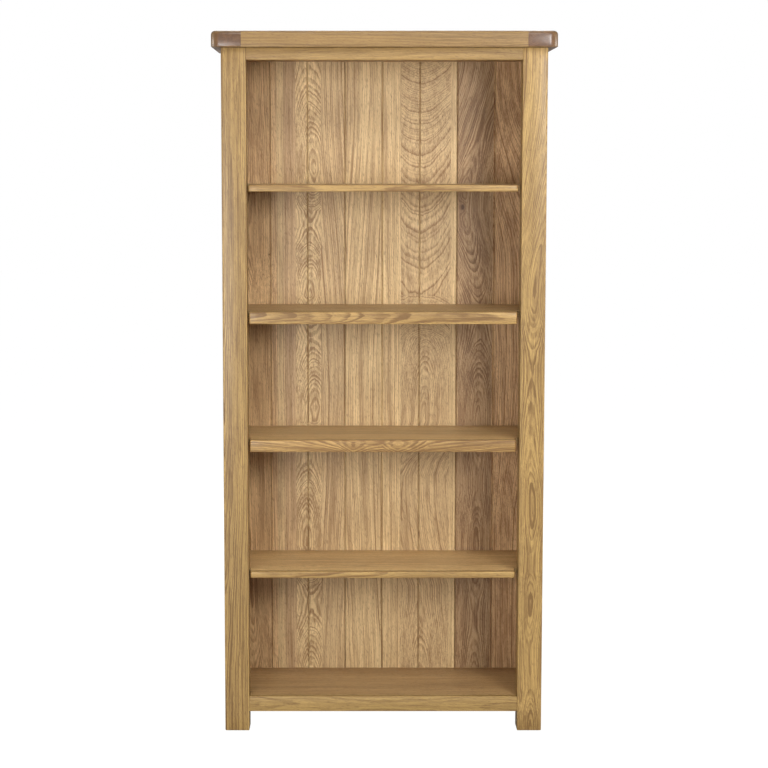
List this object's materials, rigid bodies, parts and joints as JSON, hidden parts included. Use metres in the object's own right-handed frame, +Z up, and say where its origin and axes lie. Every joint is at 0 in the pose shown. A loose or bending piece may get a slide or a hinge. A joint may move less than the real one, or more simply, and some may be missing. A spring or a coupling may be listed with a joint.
{
  "type": "bookcase with adjustable shelves",
  "caption": "Tall open bookcase in solid oak: post-and-rail case, breadboard top, V-grooved back panel and notched shelves on steel pegs that move up and down in rows of holes.",
  "frame": {"origin": "on the floor, under the middle of the bookcase's bounding box", "axes": "+Z up, -Y out of the open front, +X to the right as seen from the front"},
  "size_m": [0.9, 0.33, 1.86],
  "materials": {
    "frame_oak": "satin lacquer, golden oak",
    "back_oak": "satin lacquer, golden oak with flat-sawn figure",
    "shelf_oak": "satin lacquer, golden oak",
    "top_oak": "satin lacquer, golden oak",
    "breadboard_oak": "satin lacquer, darker where the end grain shows",
    "peg_steel": "nickel plated",
    "screw_steel": "zinc plated"
  },
  "bodies": {
    "case": {"top_panel": "top_oak", "top_breadboard_left": "breadboard_oak", "top_breadboard_right": "breadboard_oak", "front_post_left": "frame_oak", "front_post_right": "frame_oak", "rear_post_left": "frame_oak", "rear_post_right": "frame_oak", "side_panel_left": "frame_oak", "side_panel_right": "frame_oak", "side_top_rail_left": "frame_oak", "side_top_rail_right": "frame_oak", "side_bottom_rail_left": "frame_oak", "side_bottom_rail_right": "frame_oak", "front_top_rail": "frame_oak", "front_bottom_rail": "frame_oak", "back_bottom_rail": "frame_oak", "sub_top": "shelf_oak", "base_shelf": "shelf_oak", "back_panel": "back_oak", "top_screw_1": "screw_steel", "top_screw_2": "screw_steel", "top_screw_3": "screw_steel", "top_screw_4": "screw_steel", "top_screw_5": "screw_steel", "top_screw_6": "screw_steel"},
    "shelf_1": {"shelf_1_board": "shelf_oak", "shelf_1_lip": "shelf_oak"},
    "shelf_2": {"shelf_2_board": "shelf_oak", "shelf_2_lip": "shelf_oak"},
    "shelf_3": {"shelf_3_board": "shelf_oak", "shelf_3_lip": "shelf_oak"},
    "shelf_4": {"shelf_4_board": "shelf_oak", "shelf_4_lip": "shelf_oak"},
    "shelf_1_peg_front_left": {"shelf_1_peg_front_left": "peg_steel"},
    "shelf_1_peg_front_right": {"shelf_1_peg_front_right": "peg_steel"},
    "shelf_1_peg_rear_left": {"shelf_1_peg_rear_left": "peg_steel"},
    "shelf_1_peg_rear_right": {"shelf_1_peg_rear_right": "peg_steel"},
    "shelf_2_peg_front_left": {"shelf_2_peg_front_left": "peg_steel"},
    "shelf_2_peg_front_right": {"shelf_2_peg_front_right": "peg_steel"},
    "shelf_2_peg_rear_left": {"shelf_2_peg_rear_left": "peg_steel"},
    "shelf_2_peg_rear_right": {"shelf_2_peg_rear_right": "peg_steel"},
    "shelf_3_peg_front_left": {"shelf_3_peg_front_left": "peg_steel"},
    "shelf_3_peg_front_right": {"shelf_3_peg_front_right": "peg_steel"},
    "shelf_3_peg_rear_left": {"shelf_3_peg_rear_left": "peg_steel"},
    "shelf_3_peg_rear_right": {"shelf_3_peg_rear_right": "peg_steel"},
    "shelf_4_peg_front_left": {"shelf_4_peg_front_left": "peg_steel"},
    "shelf_4_peg_front_right": {"shelf_4_peg_front_right": "peg_steel"},
    "shelf_4_peg_rear_left": {"shelf_4_peg_rear_left": "peg_steel"},
    "shelf_4_peg_rear_right": {"shelf_4_peg_rear_right": "peg_steel"}
  },
  "joints": [
    {"name": "height_shelf_1", "type": "slide", "parent": "case", "child": "shelf_1", "axis": [0, 0, 1], "range_m": [-0.096, 0.096]},
    {"name": "height_shelf_2", "type": "slide", "parent": "case", "child": "shelf_2", "axis": [0, 0, 1], "range_m": [-0.096, 0.096]},
    {"name": "height_shelf_3", "type": "slide", "parent": "case", "child": "shelf_3", "axis": [0, 0, 1], "range_m": [-0.096, 0.096]},
    {"name": "height_shelf_4", "type": "slide", "parent": "case", "child": "shelf_4", "axis": [0, 0, 1], "range_m": [-0.096, 0.096]},
    {"name": "pull_shelf_1_peg_front_left", "type": "slide", "parent": "shelf_1", "child": "shelf_1_peg_front_left", "axis": [1, 0, 0], "range_m": [0, 0.012]},
    {"name": "pull_shelf_1_peg_front_right", "type": "slide", "parent": "shelf_1", "child": "shelf_1_peg_front_right", "axis": [-1, 0, 0], "range_m": [0, 0.012]},
    {"name": "pull_shelf_1_peg_rear_left", "type": "slide", "parent": "shelf_1", "child": "shelf_1_peg_rear_left", "axis": [1, 0, 0], "range_m": [0, 0.012]},
    {"name": "pull_shelf_1_peg_rear_right", "type": "slide", "parent": "shelf_1", "child": "shelf_1_peg_rear_right", "axis": [-1, 0, 0], "range_m": [0, 0.012]},
    {"name": "pull_shelf_2_peg_front_left", "type": "slide", "parent": "shelf_2", "child": "shelf_2_peg_front_left", "axis": [1, 0, 0], "range_m": [0, 0.012]},
    {"name": "pull_shelf_2_peg_front_right", "type": "slide", "parent": "shelf_2", "child": "shelf_2_peg_front_right", "axis": [-1, 0, 0], "range_m": [0, 0.012]},
    {"name": "pull_shelf_2_peg_rear_left", "type": "slide", "parent": "shelf_2", "child": "shelf_2_peg_rear_left", "axis": [1, 0, 0], "range_m": [0, 0.012]},
    {"name": "pull_shelf_2_peg_rear_right", "type": "slide", "parent": "shelf_2", "child": "shelf_2_peg_rear_right", "axis": [-1, 0, 0], "range_m": [0, 0.012]},
    {"name": "pull_shelf_3_peg_front_left", "type": "slide", "parent": "shelf_3", "child": "shelf_3_peg_front_left", "axis": [1, 0, 0], "range_m": [0, 0.012]},
    {"name": "pull_shelf_3_peg_front_right", "type": "slide", "parent": "shelf_3", "child": "shelf_3_peg_front_right", "axis": [-1, 0, 0], "range_m": [0, 0.012]},
    {"name": "pull_shelf_3_peg_rear_left", "type": "slide", "parent": "shelf_3", "child": "shelf_3_peg_rear_left", "axis": [1, 0, 0], "range_m": [0, 0.012]},
    {"name": "pull_shelf_3_peg_rear_right", "type": "slide", "parent": "shelf_3", "child": "shelf_3_peg_rear_right", "axis": [-1, 0, 0], "range_m": [0, 0.012]},
    {"name": "pull_shelf_4_peg_front_left", "type": "slide", "parent": "shelf_4", "child": "shelf_4_peg_front_left", "axis": [1, 0, 0], "range_m": [0, 0.012]},
    {"name": "pull_shelf_4_peg_front_right", "type": "slide", "parent": "shelf_4", "child": "shelf_4_peg_front_right", "axis": [-1, 0, 0], "range_m": [0, 0.012]},
    {"name": "pull_shelf_4_peg_rear_left", "type": "slide", "parent": "shelf_4", "child": "shelf_4_peg_rear_left", "axis": [1, 0, 0], "range_m": [0, 0.012]},
    {"name": "pull_shelf_4_peg_rear_right", "type": "slide", "parent": "shelf_4", "child": "shelf_4_peg_rear_right", "axis": [-1, 0, 0], "range_m": [0, 0.012]}
  ]
}
